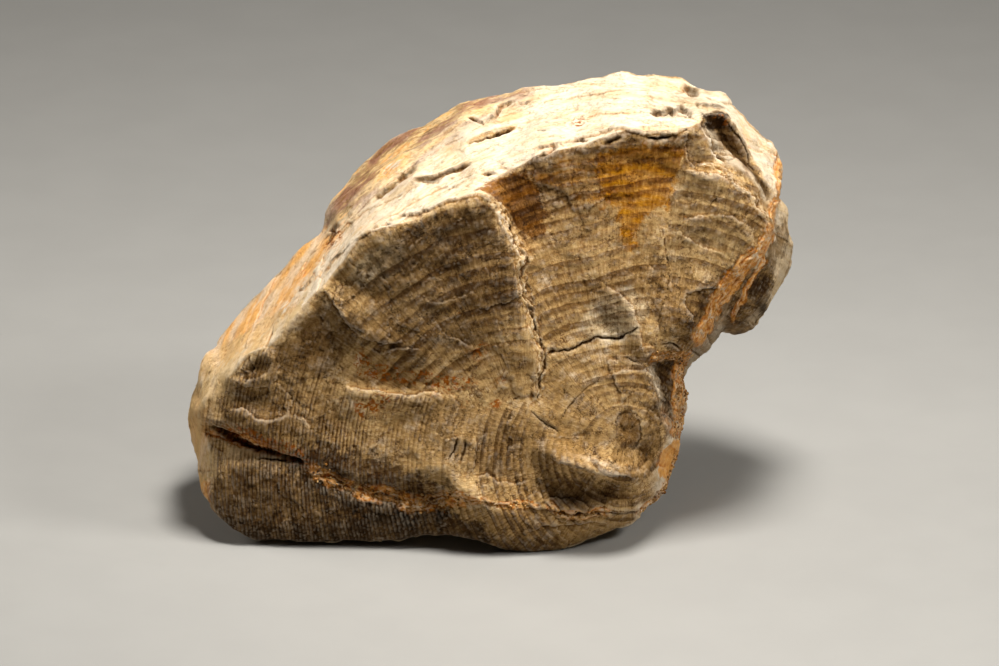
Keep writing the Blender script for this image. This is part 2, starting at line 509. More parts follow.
class StageLook(bpy.types.PropertyGroup):
    """The floor and the lights."""

    floor: colour_setting("Floor", "The pale floor", 142, 141, 138)
    top_light: FloatProperty(
        name="Top light", description="The soft light high in front", default=6.2, unit="POWER",
    )
    side_light: FloatProperty(
        name="Side light", description="The soft light on the right", default=1.8, unit="POWER",
    )
    left_light: FloatProperty(
        name="Left light", description="The soft light behind on the left", default=0.7, unit="POWER",
    )
    sky: FloatProperty(name="Surroundings", description="Strength of the pale surroundings", default=0.03)


# --------------------------------------------------------------------------------------------------
# Places on the surface


def places_of(mesh):
    """Every point's place in mm from the front foot."""
    flat = np.empty(len(mesh.vertices) * 3, np.float32)
    mesh.vertices.foreach_get("co", flat)
    return (flat.reshape(-1, 3).astype(np.float64) - np.array(FRONT_FOOT)) / MM


def move_to(mesh, places):
    """Puts every point at its place in mm from the front foot."""
    flat = places * MM + np.array(FRONT_FOOT)
    mesh.vertices.foreach_set("co", flat.astype(np.float32).ravel())
    mesh.update()


def normals_of(mesh):
    """Every point's outward direction."""
    flat = np.empty(len(mesh.vertices) * 3, np.float32)
    mesh.vertex_normals.foreach_get("vector", flat)
    return flat.reshape(-1, 3).astype(np.float64)


def edges_of(mesh):
    """The two points of every edge."""
    flat = np.empty(len(mesh.edges) * 2, np.int32)
    mesh.edges.foreach_get("vertices", flat)
    return flat.reshape(-1, 2)


def as_seen(places):
    """Across and seen up, for places in mm."""
    up = places[:, 2] * math.cos(SIGHT) + places[:, 1] * math.sin(SIGHT)
    return np.stack((places[:, 0], up), axis=1)


def neighbour_mean(values, edges):
    """The mean of each point's neighbours, for one or more columns of values."""
    columns = values.reshape(len(values), -1)
    count = np.bincount(edges.ravel(), minlength=len(values))
    mean = np.empty_like(columns)
    for column in range(columns.shape[1]):
        one = columns[:, column]
        total = np.bincount(edges[:, 0], one[edges[:, 1]], len(values))
        total += np.bincount(edges[:, 1], one[edges[:, 0]], len(values))
        mean[:, column] = total / np.maximum(count, 1)
    return mean.reshape(values.shape)


def eased(values, edges, rounds):
    """Values spread over the surface."""
    for _ in range(rounds):
        values = 0.5 * values + 0.5 * neighbour_mean(values, edges)
    return values


def smooth_step(low, high, value):
    """0 below low, 1 above high and a smooth rise between them."""
    share = np.clip((value - low) / (high - low), 0.0, 1.0)
    return share * share * (3.0 - 2.0 * share)


def wobble(seen, size, seed):
    """Smooth random numbers from -1 to 1 over the drawing, with lumps of about the size given."""
    heights = np.random.default_rng(seed).uniform(-1.0, 1.0, (WOBBLE_CELLS, WOBBLE_CELLS))
    place = seen / size + WOBBLE_SHIFT
    cell = np.floor(place).astype(int)
    share = place - cell
    share = share * share * (3.0 - 2.0 * share)
    column, row = (cell % (WOBBLE_CELLS - 1)).T
    lower = heights[row, column] * (1.0 - share[:, 0]) + heights[row, column + 1] * share[:, 0]
    upper = heights[row + 1, column] * (1.0 - share[:, 0]) + heights[row + 1, column + 1] * share[:, 0]
    return lower * (1.0 - share[:, 1]) + upper * share[:, 1]


def made_ragged(seen, amount):
    """Places moved a little at random, so that what is drawn through them gets a ragged edge."""
    moved = seen.copy()
    for seed, (size, share) in enumerate(RAGGED):
        for axis in (0, 1):
            moved[:, axis] += amount * share * wobble(seen, size, 10 * seed + axis)
    return moved


def along_path(seen, path, reach):
    """Each place's distance to a path, its side (1 on the way's left) and the way to the nearer end."""
    distance = np.full(len(seen), float(reach))
    side = np.zeros(len(seen))
    from_end = np.zeros(len(seen))
    points = np.array(path, float)
    lengths = np.linalg.norm(np.diff(points, axis=0), axis=1)
    whole = lengths.sum()
    walked = 0.0
    low, high = points.min(axis=0) - reach, points.max(axis=0) + reach
    near = np.flatnonzero(((seen > low) & (seen < high)).all(axis=1))
    close = seen[near]
    for start, way, length in zip(points[:-1], np.diff(points, axis=0), lengths):
        offset = close - start
        share = np.clip(offset @ way / length**2, 0.0, 1.0)
        gap = np.linalg.norm(offset - share[:, None] * way, axis=1)
        nearer = gap < distance[near]
        hit = near[nearer]
        distance[hit] = gap[nearer]
        side[hit] = np.sign(way[0] * offset[nearer, 1] - way[1] * offset[nearer, 0])
        place = walked + share[nearer] * length
        from_end[hit] = np.minimum(place, whole - place)
        walked += length
    return distance, side, from_end


def inside(seen, outline):
    """Which places lie inside a closed outline."""
    within = np.zeros(len(seen), bool)
    x, y = seen[:, 0], seen[:, 1]
    for (x0, y0), (x1, y1) in zip(outline, outline[1:] + outline[:1]):
        if y0 == y1:
            continue
        crosses = (y0 > y) != (y1 > y)
        within ^= crosses & (x < (x1 - x0) * (y - y0) / (y1 - y0) + x0)
    return within


def zone(seen, outline, soft):
    """1 inside an outline, 0 outside and a soft border."""
    distance, _, _ = along_path(seen, outline + outline[:1], soft)
    signed = np.where(inside(seen, outline), distance, -distance)
    return smooth_step(-soft, soft, signed)


# --------------------------------------------------------------------------------------------------
# The fine shape of the stone


def with_modifiers(obj):
    """The object's mesh once its modifiers are applied; they are then removed."""
    depsgraph = bpy.context.evaluated_depsgraph_get()
    made = bpy.data.meshes.new_from_object(obj.evaluated_get(depsgraph))
    obj.modifiers.clear()
    old = obj.data
    obj.data = made
    bpy.data.meshes.remove(old)
    return made


def copy_of_node(node, name):
    """A closed copy of a CAD node under a new name."""
    welded = bmesh.new()
    welded.from_mesh(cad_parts[node].data)
    bmesh.ops.remove_doubles(welded, verts=welded.verts, dist=WELD)
    mesh = bpy.data.meshes.new(name)
    welded.to_mesh(mesh)
    welded.free()
    obj = bpy.data.objects.new(name, mesh)
    bpy.context.scene.collection.objects.link(obj)
    return obj


def cut_cracks(places, normals, facing, share):
    """Pushes the surface in along the drawn cracks; the near side slopes down to the crack."""
    seen = as_seen(places)
    ragged = made_ragged(seen, RAGGED_CRACKS)
    depth = np.zeros(len(places))
    for number, (crack_depth, half_width, path) in enumerate(CRACKS.values()):
        distance, side, from_end = along_path(ragged, path, 4.0)
        width = half_width * (0.85 + 0.35 * wobble(seen, 3.0, CRACK_SEED + number))
        profile = 0.85 * smooth_step(width * 1.6, width * 0.3, distance)
        profile += 0.15 * smooth_step(CRACK_SLOPE, 0.0, distance) * (side < 0)
        taper = np.clip(from_end / CRACK_ENDS, 0.0, 1.0)
        depth = np.maximum(depth, crack_depth * profile * taper)
    return places - normals * (depth * facing * share)[:, None]


def raise_ledges(places, normals, facing, share):
    """Lifts the side that stands proud of each small ledge."""
    seen = as_seen(places)
    ragged = made_ragged(seen, RAGGED_CRACKS)
    height = np.zeros(len(places))
    for ledge_height, reach, path in LEDGES.values():
        distance, side, from_end = along_path(ragged, path, reach * 1.5)
        slope = np.clip(1.0 - distance / (reach * 1.5), 0.0, 1.0) ** 1.4
        taper = np.clip(from_end / LEDGE_ENDS, 0.0, 1.0)
        height += ledge_height * taper * slope * np.where(side > 0, 0.75, -0.25)
    return places + normals * (height * facing * share)[:, None]


def soften(places, edges):
    """Rounds off the forms that have no sharp edges."""
    seen = as_seen(places)
    share = np.zeros(len(places))
    for outline in SOFT_FORMS:
        share = np.maximum(share, zone(seen, outline, SOFT_BORDER))
    return places + share[:, None] * (eased(places, edges, SOFT_ROUNDS) - places)


def kept_above_floor(mesh):
    """Flattens whatever would reach below the floor."""
    places = places_of(mesh)
    places[:, 2] = np.maximum(places[:, 2], -FRONT_FOOT.z / MM)
    move_to(mesh, places)


def thin_part(obj, part, triangles_left):
    """Takes triangles off one part of the surface until it has few enough."""
    mesh = obj.data
    mesh.calc_loop_triangles()
    corners = np.empty(len(mesh.loop_triangles) * 3, np.int32)
    mesh.loop_triangles.foreach_get("vertices", corners)
    in_part = part[corners.reshape(-1, 3)].mean(axis=1) > 0.5
    total = len(in_part)
    group = obj.vertex_groups.new(name="part")
    group.add(np.flatnonzero(part).tolist(), 1.0, "REPLACE")
    thinner = obj.modifiers.new("Thin", "DECIMATE")
    thinner.decimate_type = "COLLAPSE"
    thinner.use_collapse_triangulate = True
    thinner.vertex_group = group.name
    thinner.vertex_group_factor = KEEP_TO_PART
    thinner.ratio = min(1.0, (total - in_part.sum() + triangles_left) / total)
    made = with_modifiers(obj)
    obj.vertex_groups.clear()
    return made


def hidden_points(mesh):
    """Which points lie on the side away from the viewer."""
    toward = normals_of(mesh) @ TO_VIEWER
    return eased((toward < -0.02).astype(float), edges_of(mesh), 4) > 0.5


# --------------------------------------------------------------------------------------------------
# What the material and the relief read from the surface


def ring_place(seen):
    """Distance and direction from the middle of the rings, which drifts from the pith as they grow."""
    offset = seen - np.array(PITH)
    drift = np.array(RING_DRIFT)
    radius = np.linalg.norm(offset, axis=1)
    for _ in range(5):
        share = 1.0 - np.exp(-radius / DRIFT_OVER)
        spoke = offset - share[:, None] * drift
        radius = np.linalg.norm(spoke, axis=1)
    return radius, np.arctan2(spoke[:, 1], spoke[:, 0])


def count_rings(seen):
    """Rings and layers between each place and the pith, the direction, and how near the count jumps."""
    narrow = inside(seen, NARROW_OUTLINE)
    slab = inside(seen, SLAB_OUTLINE)
    facet = inside(seen, FACET_OUTLINE)
    shifted = seen - np.where(facet, FACET_SHIFT, 0.0)[:, None] * np.array((1.0, 0.0))
    shifted += slab[:, None] * np.array(SLAB_SHIFT)
    radius, way = ring_place(shifted)
    leaning = smooth_step(*LEAN_OVER, seen[:, 1]) * ~(slab | facet)
    radius = radius - leaning * LEAN * np.maximum(seen[:, 0] - LEAN_FROM, 0.0)
    wide_count = np.interp(radius / np.where(slab, SLAB_WIDTH, 1.0), *zip(*WIDE_RINGS))
    narrow_count = np.interp(radius, *zip(*NARROW_RINGS))
    layers = np.interp(ring_place(seen)[0], *zip(*WIDE_RINGS))
    borders = np.full(len(seen), BORDER_REACH)
    for outline in (NARROW_OUTLINE, SLAB_OUTLINE, FACET_OUTLINE):
        borders = np.minimum(borders, along_path(seen, outline + outline[:1], BORDER_REACH)[0])
    return np.where(narrow, narrow_count, wide_count), layers, way, borders


def clarity_of_rings(seen):
    """How clearly the rings show at each place."""
    total = np.full(len(seen), 0.01)
    clear = total * 0.5
    from_pith = np.linalg.norm(seen - np.array(PITH), axis=1)
    for across, up, clarity in RING_CLARITY:
        gap = (seen[:, 0] - across) ** 2 + (seen[:, 1] - up) ** 2
        weight = np.exp(-gap / (2.0 * CLARITY_REACH**2))
        total += weight
        clear += weight * clarity
    return clear / total * smooth_step(*CLEAR_FROM_PITH, from_pith)


def write_marks(mesh, marks):
    """Stores a number for every point under each mark's name."""
    for name, values in marks.items():
        layer = mesh.attributes.new(name, "FLOAT", "POINT")
        layer.data.foreach_set("value", values.astype(np.float32))


def strongest(strengths):
    """The strongest of the three kinds of crust at each place."""
    return np.maximum(np.maximum(strengths["vein"], strengths["crumbly"]), strengths["pale"])


def mark_surface(mesh):
    """Writes what shows where on the surface: rings, broken or split grain, stains, crusts and cracks."""
    places = places_of(mesh)
    edges = edges_of(mesh)
    normals = eased(normals_of(mesh), edges, 8)
    normals /= np.linalg.norm(normals, axis=1)[:, None]
    toward = normals @ TO_VIEWER
    facing = smooth_step(-0.05, 0.08, toward)
    seen = as_seen(places)
    far = seen.copy()
    far[:, 1] = places[:, 2] * math.cos(SIGHT) + BACK_RINGS * math.sin(SIGHT)
    ringed = np.where((toward > 0.0)[:, None], seen, far)
    rings, layers, way, borders = count_rings(ringed)
    on_break = smooth_step(*END_GRAIN, np.abs(normals[:, 1]))
    clarity = np.where(toward > 0.0, clarity_of_rings(seen), HIDDEN_CLARITY)
    clarity *= on_break * smooth_step(0.4, 1.0, borders) * smooth_step(0.0, 0.1, np.abs(toward))
    marks = {
        "rings": rings,
        "layers": layers,
        "ring_way": way * ROUND_PITH,
        "ring_clarity": clarity,
        "on_break": on_break,
        "seen_side": facing,
    }
    ragged = made_ragged(seen, RAGGED_STAINS)
    for name, (soft, outline) in ZONES.items():
        marks[name] = zone(ragged, outline, soft) * facing
    strengths = {kind: np.zeros(len(places)) for kind in ("vein", "crumbly", "pale", "rust")}
    marks["crust_along"] = np.zeros(len(places))
    marks["crust_across"] = np.zeros(len(places))
    for number, (kind, half_width, path) in enumerate(STREAKS.values()):
        distance, side, from_end = along_path(ragged, path, half_width * 3.0)
        taper = 0.3 + 0.7 * np.clip(from_end / STREAK_ENDS, 0.0, 1.0)
        strength = smooth_step(half_width * 2.2, half_width * 0.4, distance) * taper
        if kind != "rust":
            wins = strength > strongest(strengths)
            marks["crust_across"][wins] = (distance * side)[wins] + CRUST_APART * number
            marks["crust_along"][wins] = from_end[wins]
        strengths[kind] = np.maximum(strengths[kind], strength)
    for kind, strength in strengths.items():
        marks[kind] = strength * facing
    marks["crust"] = strongest(marks)
    crack = np.zeros(len(places))
    cracked = made_ragged(seen, RAGGED_CRACKS)
    for depth, half_width, path in CRACKS.values():
        distance, _, from_end = along_path(cracked, path, 3.0)
        taper = np.clip(from_end / CRACK_DIRT_ENDS, 0.0, 1.0) * min(1.0, 0.3 + depth)
        crack = np.maximum(crack, smooth_step(half_width * 1.1 + 0.1, half_width * 0.2, distance) * taper)
    marks["crack"] = crack * facing
    write_marks(mesh, marks)


def mark_wear(mesh):
    """Writes where edges stand proud and where the surface is sunk, finely and broadly."""
    places = places_of(mesh)
    edges = edges_of(mesh)
    normals = normals_of(mesh)
    fine = np.einsum("ij,ij->i", places - eased(places, edges, 4), normals)
    broad = np.einsum("ij,ij->i", places - eased(places, edges, 30), eased(normals, edges, 4))
    write_marks(mesh, {
        "worn": smooth_step(0.01, 0.09, fine),
        "sunk": smooth_step(-0.01, -0.1, fine),
        "proud": smooth_step(0.1, 0.7, broad),
        "low": smooth_step(-0.1, -0.7, broad),
    })


# --------------------------------------------------------------------------------------------------
# Node trees


def add_node(tree, kind, feeds=None, **settings):
    """Adds a node, sets it up and feeds its sockets with values or with other nodes' outputs."""
    made = tree.nodes.new(kind)
    for name, value in settings.items():
        setattr(made, name, value)
    for socket, value in (feeds or {}).items():
        if isinstance(value, bpy.types.NodeSocket):
            tree.links.new(value, made.inputs[socket])
        else:
            made.inputs[socket].default_value = value
    return made


def maths(tree, operation, first, second=0.0, clamp=False):
    """One sum on one or two numbers."""
    feeds = {0: first, 1: second}
    return add_node(tree, "ShaderNodeMath", feeds, operation=operation, use_clamp=clamp).outputs[0]


def plus(tree, *terms):
    """The sum of several numbers."""
    total = terms[0]
    for term in terms[1:]:
        total = maths(tree, "ADD", total, term)
    return total


def times(tree, *factors):
    """The product of several numbers."""
    product = factors[0]
    for factor in factors[1:]:
        product = maths(tree, "MULTIPLY", product, factor)
    return product


def opposite(tree, share):
    """1 less a share."""
    return maths(tree, "SUBTRACT", 1.0, share)


def vectors(tree, operation, first, second):
    """One sum on two vectors."""
    return add_node(tree, "ShaderNodeVectorMath", {0: first, 1: second}, operation=operation).outputs[0]


def scaled(tree, vector, factor):
    """A vector or colour times a number."""
    feeds = {0: vector, "Scale": factor}
    return add_node(tree, "ShaderNodeVectorMath", feeds, operation="SCALE").outputs[0]


def vector_of(tree, first, second=0.0):
    """A vector from two numbers."""
    return add_node(tree, "ShaderNodeCombineXYZ", {0: first, 1: second}).outputs[0]


def remap(tree, value, low, high, new_low=0.0, new_high=1.0):
    """A smooth change from new_low to new_high while value goes from low to high."""
    feeds = {"Value": value, "From Min": low, "From Max": high, "To Min": new_low, "To Max": new_high}
    return add_node(tree, "ShaderNodeMapRange", feeds, interpolation_type="SMOOTHSTEP").outputs[0]


def cloud(tree, place, scale, detail=3.0, roughness=0.55):
    """Cloudy noise from 0 to 1."""
    feeds = {"Vector": place, "Scale": scale, "Detail": detail, "Roughness": roughness}
    return add_node(tree, "ShaderNodeTexNoise", feeds, noise_dimensions="3D").outputs[0]


def read_mark(tree, name):
    """One of the surface's marks."""
    return add_node(tree, "ShaderNodeAttribute", attribute_name=name).outputs["Fac"]


def blend_colour(tree, share, below, above):
    """One colour laid over another."""
    made = add_node(tree, "ShaderNodeMix", data_type="RGBA", blend_type="MIX", clamp_factor=True)
    for socket, value in ((0, share), (6, below), (7, above)):
        if isinstance(value, bpy.types.NodeSocket):
            tree.links.new(value, made.inputs[socket])
        elif socket:
            made.inputs[socket].default_value = (*value, 1.0)
        else:
            made.inputs[socket].default_value = value
    return made.outputs[2]


def lay_over(tree, colour, above, *shares):
    """A colour with another laid over it, as strongly as the product of the shares."""
    return blend_colour(tree, times(tree, *shares), colour, above)


def richer(tree, colour, power):
    """The same colour darker and richer, or paler when the power is below 1."""
    return add_node(tree, "ShaderNodeGamma", {"Color": colour, "Gamma": power}).outputs[0]


def in_shade(tree, colour, power):
    """The same colour richer and dimmer, as stone that is darkened by dirt and damp."""
    return scaled(tree, richer(tree, colour, power), 1.0 / (1.0 + 1.2 * max(power - 1.0, 0.0)))


def in_light(tree, colour):
    """The same colour a little paler and brighter."""
    return scaled(tree, richer(tree, colour, 0.75), 1.25)


def ramp(tree, share, stops):
    """A colour from a row of (place, colour) stops."""
    made = add_node(tree, "ShaderNodeValToRGB", {0: share})
    elements = made.color_ramp.elements
    while len(elements) < len(stops):
        elements.new(0.5)
    for element, (place, colour) in zip(elements, stops):
        element.position = place
        element.color = (*colour, 1.0)
    return made.outputs[0]


def grey(value):
    """A number as a colour."""
    return (value, value, value)


# How dark a growth ring is on its way out: (place in the ring, darkness)
RING_PROFILE = (
    (0.0, grey(0.3)), (0.12, grey(0.0)), (0.35, grey(0.12)), (0.55, grey(0.55)),
    (0.72, grey(0.85)), (0.86, grey(1.0)), (0.95, grey(0.9)), (1.0, grey(0.3)),
)

# Zones of the stone in the order in which they are laid on: (name, colour, how strongly, how streaky)
# A number in the place of a colour makes the stone itself darker, or paler where it is below 1
TINTS = (
    ("golden", "golden", 0.85, 0.65),
    ("left_flank", "golden", 0.85, 0.6),
    ("left_rim", "straw", 0.75, 0.5),
    ("grey_facet", "grey", 0.55, 0.2),
    ("grey_lobes", "grey", 0.65, 0.4),
    ("ochre", "ochre", 0.95, 0.3),
    ("ochre_streaks", "ochre", 0.75, 0.8),
    ("umber", "umber", 0.95, 0.2),
    ("crevice", "rust", 0.7, 0.5),
    ("cream_ledge", 1.25, 0.7, 0.4),
    ("cream_bulge", 0.85, 0.6, 0.5),
    ("pale_slab", 0.5, 0.9, 0.4),
    ("pale_corner", 0.6, 0.9, 0.4),
    ("pale_ridge", 0.75, 0.6, 0.5),
    ("dark_slab", 1.85, 0.6, 0.35),
    ("dark_quarter", 1.9, 0.75, 0.35),
    ("dark_left", 1.75, 0.6, 0.4),
    ("dark_lobe", 2.1, 0.85, 0.3),
    ("dark_foot", 2.1, 0.7, 0.3),
    ("dark_under_rim", 1.85, 0.65, 0.3),
    ("dark_top", 1.8, 0.5, 0.4),
    ("dark_recess", 2.0, 0.75, 0.4),
    ("dark_panel", 1.9, 0.8, 0.3),
    ("dark_gap", 2.0, 0.85, 0.3),
    ("dark_waist", 1.9, 0.85, 0.35),
    ("dark_shell", 1.7, 0.75, 0.3),
    ("dark_side", 1.7, 0.75, 0.3),
    ("dark_blade", 1.9, 0.6, 0.45),
    ("dark_cleft", 2.4, 0.95, 0.35),
    ("dark_shoulder", 1.6, 0.6, 0.6),
    ("dark_crest", 1.6, 0.75, 0.3),
    ("pith", 1.9, 0.9, 0.2),
    ("pale_tip", "straw", 0.8, 0.6),
    ("cream_haunch", "golden", 0.95, 0.1),
    ("lobe_side", "straw", 0.95, 0.3),
    ("pocket", 1.8, 0.75, 0.3),
    ("pocket_hole", 2.4, 0.95, 0.1),
)


def broken_colour(tree, place, colours):
    """The tan of the broken ends, before its growth rings."""
    patches = remap(tree, cloud(tree, place, 0.05, 3.0), 0.38, 0.66, 0.0, 0.75)
    colour = blend_colour(tree, patches, colours.tan, colours.clay)
    pale = remap(tree, cloud(tree, place, 0.21, 5.0, 0.65), 0.52, 0.74, 0.0, 0.6)
    return blend_colour(tree, pale, colour, colours.cream)


def ring_lines(tree, place):
    """How dark the growth rings make each place, from 0 to 1."""
    rings = read_mark(tree, "rings")
    way = read_mark(tree, "ring_way")
    which = maths(tree, "FLOOR", rings)
    line = ramp(tree, maths(tree, "FRACT", rings), RING_PROFILE)
    each = add_node(tree, "ShaderNodeTexWhiteNoise", {"W": which}, noise_dimensions="1D").outputs["Value"]
    own_strength = remap(tree, each, 0.0, 1.0, 0.45, 1.35)
    lengthwise = vector_of(tree, times(tree, way, 0.16), times(tree, which, 3.7))
    broken_up = remap(tree, cloud(tree, lengthwise, 1.0, 3.0, 0.6), 0.34, 0.6, 0.35, 1.1)
    rays = vector_of(tree, times(tree, way, 1.5), times(tree, rings, 0.5))
    rayed = remap(tree, cloud(tree, rays, 1.0, 3.0, 0.6), 0.3, 0.6, 0.55, 1.1)
    patches = remap(tree, cloud(tree, place, 0.11, 4.0, 0.6), 0.42, 0.58, 0.55, 1.1)
    dark = times(tree, line, read_mark(tree, "ring_clarity"), broken_up, rayed, own_strength, patches)
    return maths(tree, "MULTIPLY", dark, 2.7, clamp=True)


def layer_place(tree, read):
    """Places measured across and along the wood's layers, so that streaks and splinters follow them."""
    across, along = read(tree, "layers"), read(tree, "ring_way")
    return vector_of(tree, times(tree, across, 1.6), times(tree, along, 0.11))


def split_colour(tree, place, layers, colours):
    """The cream layers of the split sides."""
    streaks = remap(tree, cloud(tree, layers, 1.0, 4.0, 0.6), 0.42, 0.66, 0.0, 0.55)
    colour = blend_colour(tree, streaks, colours.cream, colours.straw)
    bands = remap(tree, cloud(tree, place, 0.07, 4.0, 0.6), 0.54, 0.72, 0.0, 0.45)
    colour = blend_colour(tree, bands, colour, colours.golden)
    threads = remap(tree, cloud(tree, layers, 3.0, 3.0), 0.56, 0.7, 0.0, 0.35)
    colour = blend_colour(tree, threads, colour, colours.clay)
    mixed = ramp(tree, cloud(tree, layers, 0.8, 5.0, 0.7), (
        (0.36, colours.umber), (0.44, colours.plum), (0.5, colours.clay),
        (0.55, colours.straw), (0.6, colours.golden), (0.68, colours.cream),
    ))
    colour = lay_over(tree, colour, mixed, read_mark(tree, "plum"), 0.9)
    weathered = remap(tree, cloud(tree, place, 0.06, 4.0), 0.3, 0.7, 0.35, 0.85)
    return lay_over(tree, colour, colours.tan, opposite(tree, read_mark(tree, "seen_side")), weathered)


def hairlines(tree, place, scale, width):
    """Hair-thin cracks that come and go, 1 on the crack and 0 elsewhere."""
    field = maths(tree, "ABSOLUTE", maths(tree, "SUBTRACT", cloud(tree, place, scale, 5.0, 0.55), 0.5))
    line = remap(tree, field, 0.0, width, 1.0, 0.0)
    elsewhere = vectors(tree, "ADD", place, (31.0, 17.0, 5.0))
    return times(tree, line, remap(tree, cloud(tree, elsewhere, scale * 0.5, 2.0), 0.48, 0.56))


def ragged_mark(tree, mark, bends):
    """A mark with a ragged border."""
    return remap(tree, plus(tree, mark, times(tree, bends, remap(tree, mark, 0.0, 0.1))), 0.25, 0.75)


def stained(tree, colour, colours, layers, bends):
    """The stone's colour with its stains and its darker and paler areas."""
    streaky = remap(tree, cloud(tree, layers, 0.7, 4.0, 0.6), 0.38, 0.62)
    for zone_name, tint, strength, streakiness in TINTS:
        bordered = ragged_mark(tree, read_mark(tree, zone_name), bends)
        texture = remap(tree, streaky, 0.0, 1.0, 1.0 - streakiness, 1.0)
        tinted = getattr(colours, tint) if isinstance(tint, str) else in_shade(tree, colour, tint)
        colour = lay_over(tree, colour, tinted, bordered, texture, strength)
    return colour


def grained(tree, colour, place, on_break, hairs):
    """The colour with rays, grit and hair-thin cracks."""
    ray_place = vector_of(
        tree, times(tree, read_mark(tree, "ring_way"), 1.3), times(tree, read_mark(tree, "rings"), 0.3)
    )
    rays = cloud(tree, ray_place, 1.0, 4.0, 0.65)
    pale, deep = in_light(tree, colour), richer(tree, colour, 2.2)
    colour = lay_over(tree, colour, pale, remap(tree, rays, 0.5, 0.68, 0.0, 0.5), on_break)
    colour = lay_over(tree, colour, deep, remap(tree, rays, 0.5, 0.32, 0.0, 0.5), on_break)
    grit = cloud(tree, place, 1.2, 6.0, 0.8)
    pale, deep = in_light(tree, colour), richer(tree, colour, 2.4)
    gritty = remap(tree, on_break, 0.0, 1.0, 0.45, 1.0)
    colour = lay_over(tree, colour, deep, remap(tree, grit, 0.52, 0.66, 0.0, 0.55), gritty)
    colour = lay_over(tree, colour, pale, remap(tree, grit, 0.48, 0.34, 0.0, 0.5), on_break)
    return lay_over(tree, colour, richer(tree, colour, 3.0), hairs, gritty, 0.8)


def ringed(tree, colour, colours, place):
    """The colour with the dark lines of the growth rings."""
    lines = ring_lines(tree, place)
    colour = lay_over(tree, colour, richer(tree, colour, 1.9), lines, 0.6)
    return lay_over(tree, colour, colours.ring, lines, 0.55)


def crusted(tree, colour, colours, place, bends):
    """The colour with the orange, crumbly and pale crusts."""
    crust = read_mark(tree, "crust")
    mixture = cloud(tree, crust_place(tree, read_mark), 1.0, 5.0, 0.65)
    orange = ramp(tree, plus(tree, mixture, times(tree, crust, 0.3)), (
        (0.54, colours.umber), (0.64, colours.vein), (0.8, colours.golden), (0.95, colours.cream),
    ))
    pale = ramp(tree, mixture, (
        (0.36, colours.umber), (0.45, colours.clay), (0.54, colours.straw), (0.64, colours.cream),
    ))
    crust_colour = blend_colour(tree, remap(tree, read_mark(tree, "pale"), 0.1, 0.5), orange, pale)
    bare = remap(tree, cloud(tree, place, 0.28, 4.0, 0.6), 0.4, 0.58, 0.35, 1.0)
    covered = maths(tree, "MAXIMUM", bare, read_mark(tree, "vein"))
    return lay_over(tree, colour, crust_colour, ragged_mark(tree, crust, bends), covered, 0.9)


def rusty(tree, colour, colours, place):
    """The colour with iron specks along the drawn lines and a few stray ones."""
    specks = remap(tree, cloud(tree, place, 0.75, 4.0, 0.6), 0.51, 0.54)
    drawn = remap(tree, read_mark(tree, "rust"), 0.1, 0.6)
    colour = lay_over(tree, colour, colours.rust, drawn, specks, 0.95)
    stray = remap(tree, cloud(tree, place, 0.5, 5.0, 0.6), 0.67, 0.76, 0.0, 0.5)
    return lay_over(tree, colour, colours.rust, stray)


def weathered_edges(tree, colour, colours, place):
    """The colour with paler worn edges, darker hollows and dirty cracks."""
    patchy = remap(tree, cloud(tree, place, 0.35, 4.0, 0.6), 0.35, 0.6, 0.3, 1.0)
    on_stain = maths(tree, "MAXIMUM", read_mark(tree, "umber"), read_mark(tree, "ochre"))
    worn = times(tree, patchy, remap(tree, on_stain, 0.0, 1.0, 0.3, 0.05))
    for edge in ("proud", "worn"):
        colour = lay_over(tree, colour, colours.cream, read_mark(tree, edge), worn)
    for hollow, strength, power in (("low", 0.6, 2.2), ("sunk", 0.7, 2.4)):
        colour = lay_over(tree, colour, richer(tree, colour, power), read_mark(tree, hollow), strength)
    return lay_over(tree, colour, colours.shade, read_mark(tree, "crack"), 0.75)


def new_material(name):
    """An empty material, its tree and the places on the piece, in mm."""
    material = bpy.data.materials.new(name)
    material.use_nodes = True
    tree = material.node_tree
    tree.nodes.clear()
    origin = add_node(tree, "ShaderNodeTexCoord").outputs["Object"]
    return material, tree, scaled(tree, origin, 1.0 / MM)


def add_surface(tree, feeds):
    """The shader with its sockets fed, and the way out of the tree."""
    shader = add_node(tree, "ShaderNodeBsdfPrincipled", feeds)
    add_node(tree, "ShaderNodeOutputMaterial", {"Surface": shader.outputs[0]})


